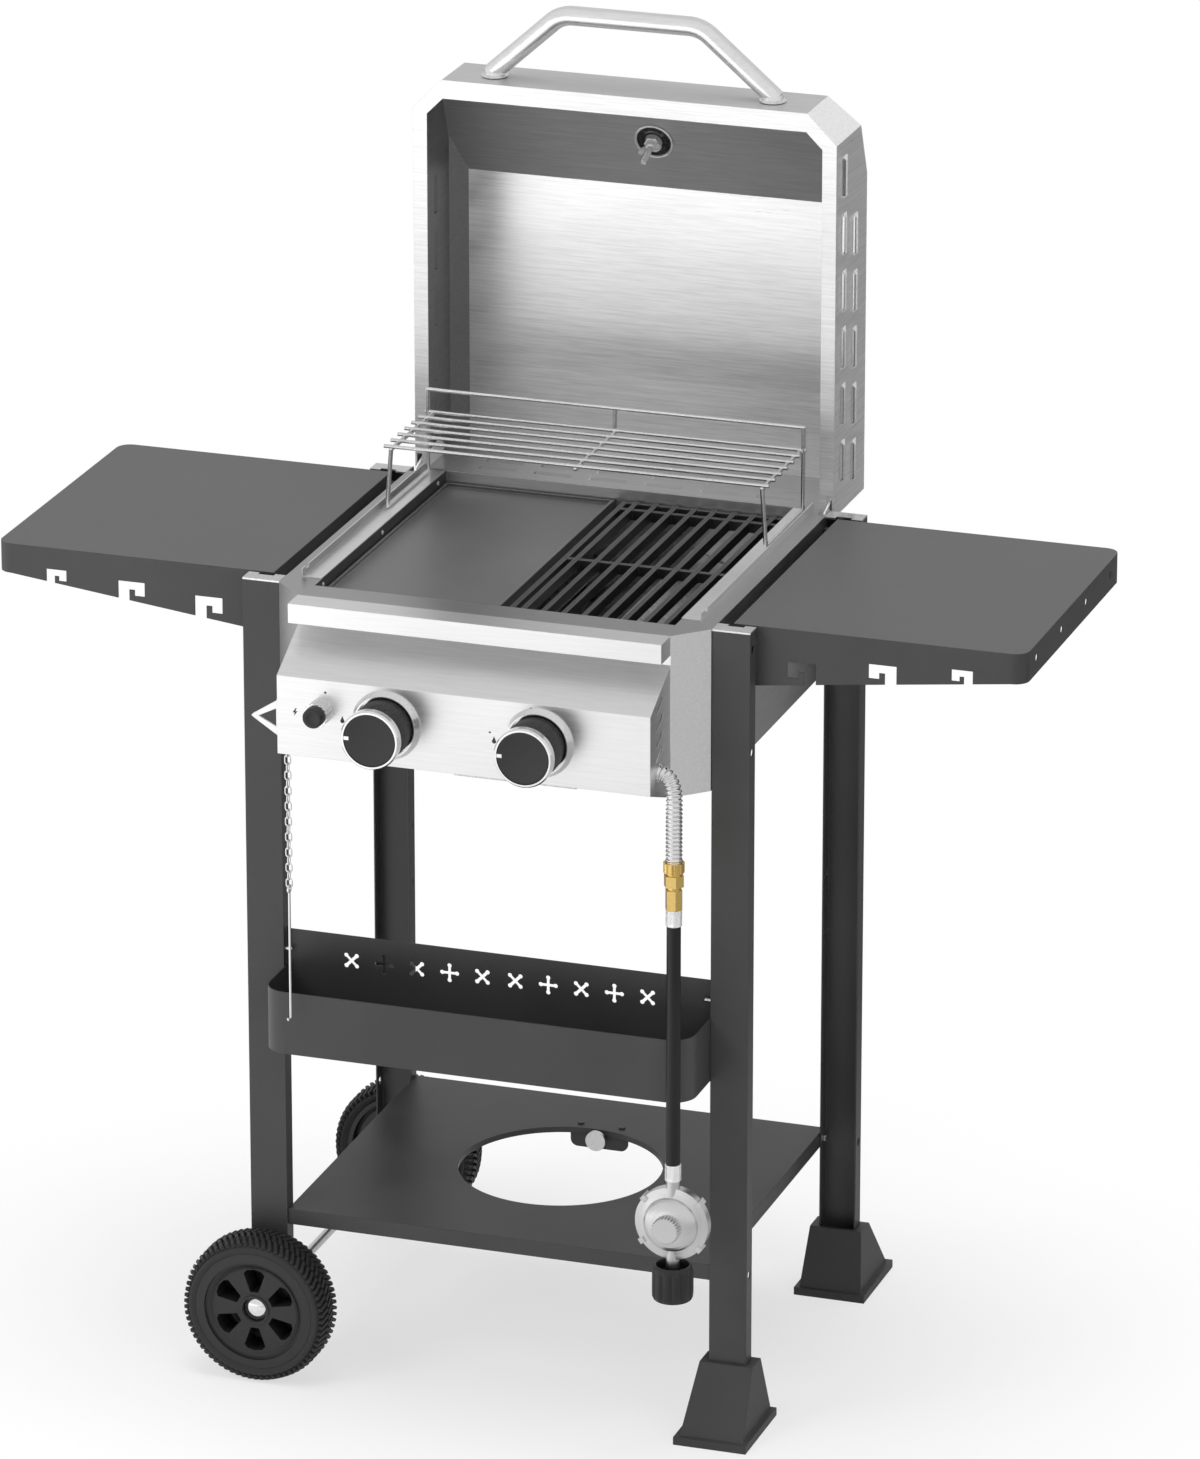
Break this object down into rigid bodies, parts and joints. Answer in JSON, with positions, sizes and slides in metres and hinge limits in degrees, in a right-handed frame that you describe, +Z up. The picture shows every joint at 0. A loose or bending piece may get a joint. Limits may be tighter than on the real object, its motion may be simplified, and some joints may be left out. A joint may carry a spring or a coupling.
{
  "type": "gas grill",
  "caption": "Two-burner gas grill on a folded-steel cart with side shelves, an open lid, a griddle and grate, a storage tray, wheels and a hanging gas hose.",
  "frame": {"origin": "on the floor, midway between the left and right legs and midway between the front and rear legs", "axes": "+X towards the hose side, the viewer's right; +Y to the back; +Z up; the control panel faces -Y"},
  "size_m": [1.099, 0.676, 1.3729],
  "materials": {
    "painted_steel": "satin powder coat",
    "bare_steel": "zinc plated",
    "stainless": "brushed",
    "polished_steel": "polished",
    "foot_plastic": "moulded",
    "wheel_plastic": "moulded",
    "tyre": "ribbed",
    "knob_plastic": "satin",
    "griddle_enamel": "enamelled",
    "grate_enamel": "enamelled",
    "shield_steel": "heat darkened",
    "rack_wire": "plated",
    "brass": "machined",
    "zinc_cast": "cast",
    "hose_rubber": "smooth",
    "dial_lens": "clear",
    "needle_paint": "matt",
    "ceramic": "glazed"
  },
  "bodies": {
    "cart": {"leg_front_left": "painted_steel", "leg_front_right": "painted_steel", "leg_rear_left": "painted_steel", "leg_rear_right": "painted_steel", "bottom_shelf": "painted_steel", "tank_lock_bracket": "painted_steel", "storage_tray": "painted_steel", "side_shelf_left": "painted_steel", "side_shelf_right": "painted_steel", "shelf_brackets": "painted_steel", "leg_caps": "bare_steel", "wheel_axle": "bare_steel", "cart_screws": "bare_steel", "gas_manifold": "bare_steel", "hinge_brackets": "bare_steel", "firebox_shell": "stainless", "front_lip": "stainless", "control_panel": "stainless", "side_rails": "stainless", "bottle_opener": "stainless", "hub_caps": "polished_steel", "knob_bezels": "polished_steel", "igniter_housing": "polished_steel", "chain_ring": "polished_steel", "corrugated_pipe": "polished_steel", "hose_ferrules": "polished_steel", "foot_front": "foot_plastic", "foot_rear": "foot_plastic", "griddle_plate": "griddle_enamel", "cooking_grate": "grate_enamel", "heat_shields": "shield_steel", "burners": "shield_steel", "warming_rack": "rack_wire", "gas_valves": "brass", "brass_coupling": "brass", "regulator": "zinc_cast", "rubber_hose": "hose_rubber", "igniter_electrodes": "ceramic"},
    "lid": {"lid_shell": "stainless", "lid_handle": "polished_steel", "thermometer_case": "polished_steel", "thermometer_lens": "dial_lens", "hinge_ears": "polished_steel"},
    "needle": {"thermometer_needle": "needle_paint"},
    "front_wheel": {"wheel_front": "wheel_plastic", "tyre_front": "tyre"},
    "rear_wheel": {"wheel_rear": "wheel_plastic", "tyre_rear": "tyre"},
    "left_stem": {"valve_stem_left": "brass"},
    "right_stem": {"valve_stem_right": "brass"},
    "left_knob": {"knob_left": "knob_plastic", "knob_ring_left": "polished_steel"},
    "right_knob": {"knob_right": "knob_plastic", "knob_ring_right": "polished_steel"},
    "igniter": {"igniter_button": "knob_plastic"},
    "grease_drawer": {"grease_tray": "shield_steel"},
    "tank_lock": {"tank_lock_screw": "bare_steel"},
    "match_holder": {"match_chain": "polished_steel", "lighting_rod": "polished_steel"},
    "gas_nut": {"tank_nut": "knob_plastic"}
  },
  "joints": [
    {"name": "lid_hinge", "type": "hinge", "parent": "cart", "child": "lid", "pos_m": [0, 0.1977, 0.86], "axis": [1, 0, 0], "range_deg": [0, 90]},
    {"name": "needle_turn", "type": "hinge", "parent": "lid", "child": "needle", "pos_m": [0, 0.30921, 1.21412], "axis": [0, 0.9265, 0.3763], "range_deg": [0, 240], "stiffness_Nm_per_rad": 0.002},
    {"name": "front_wheel_spin", "type": "hinge", "parent": "cart", "child": "front_wheel", "pos_m": [-0.2507, -0.227, 0.08], "axis": [0, 1, 0], "continuous": true},
    {"name": "rear_wheel_spin", "type": "hinge", "parent": "cart", "child": "rear_wheel", "pos_m": [-0.2507, 0.227, 0.08], "axis": [0, 1, 0], "continuous": true},
    {"name": "left_knob_push", "type": "slide", "parent": "cart", "child": "left_stem", "axis": [0, 1, 0], "range_m": [0, 0.004], "stiffness_N_per_m": 400},
    {"name": "right_knob_push", "type": "slide", "parent": "cart", "child": "right_stem", "axis": [0, 1, 0], "range_m": [0, 0.004], "stiffness_N_per_m": 400},
    {"name": "left_knob_turn", "type": "hinge", "parent": "left_stem", "child": "left_knob", "pos_m": [-0.081, -0.32, 0.762], "axis": [0, -1, 0], "range_deg": [-90, 90]},
    {"name": "right_knob_turn", "type": "hinge", "parent": "right_stem", "child": "right_knob", "pos_m": [0.081, -0.32, 0.762], "axis": [0, -1, 0], "range_deg": [-90, 90]},
    {"name": "igniter_press", "type": "slide", "parent": "cart", "child": "igniter", "axis": [0, 1, 0], "range_m": [0, 0.005], "stiffness_N_per_m": 300},
    {"name": "grease_tray_slide", "type": "slide", "parent": "cart", "child": "grease_drawer", "axis": [0, 1, 0], "range_m": [0, 0.24]},
    {"name": "tank_lock_slide", "type": "slide", "parent": "cart", "child": "tank_lock", "axis": [0, -1, 0], "range_m": [0, 0.01]},
    {"name": "match_swing", "type": "hinge", "parent": "cart", "child": "match_holder", "pos_m": [-0.1925, -0.28, 0.71045], "axis": [0, 1, 0], "range_deg": [-20, 20]},
    {"name": "gas_nut_spin", "type": "hinge", "parent": "cart", "child": "gas_nut", "pos_m": [0.2175, -0.277, 0.19], "axis": [0, 0, 1], "continuous": true}
  ]
}
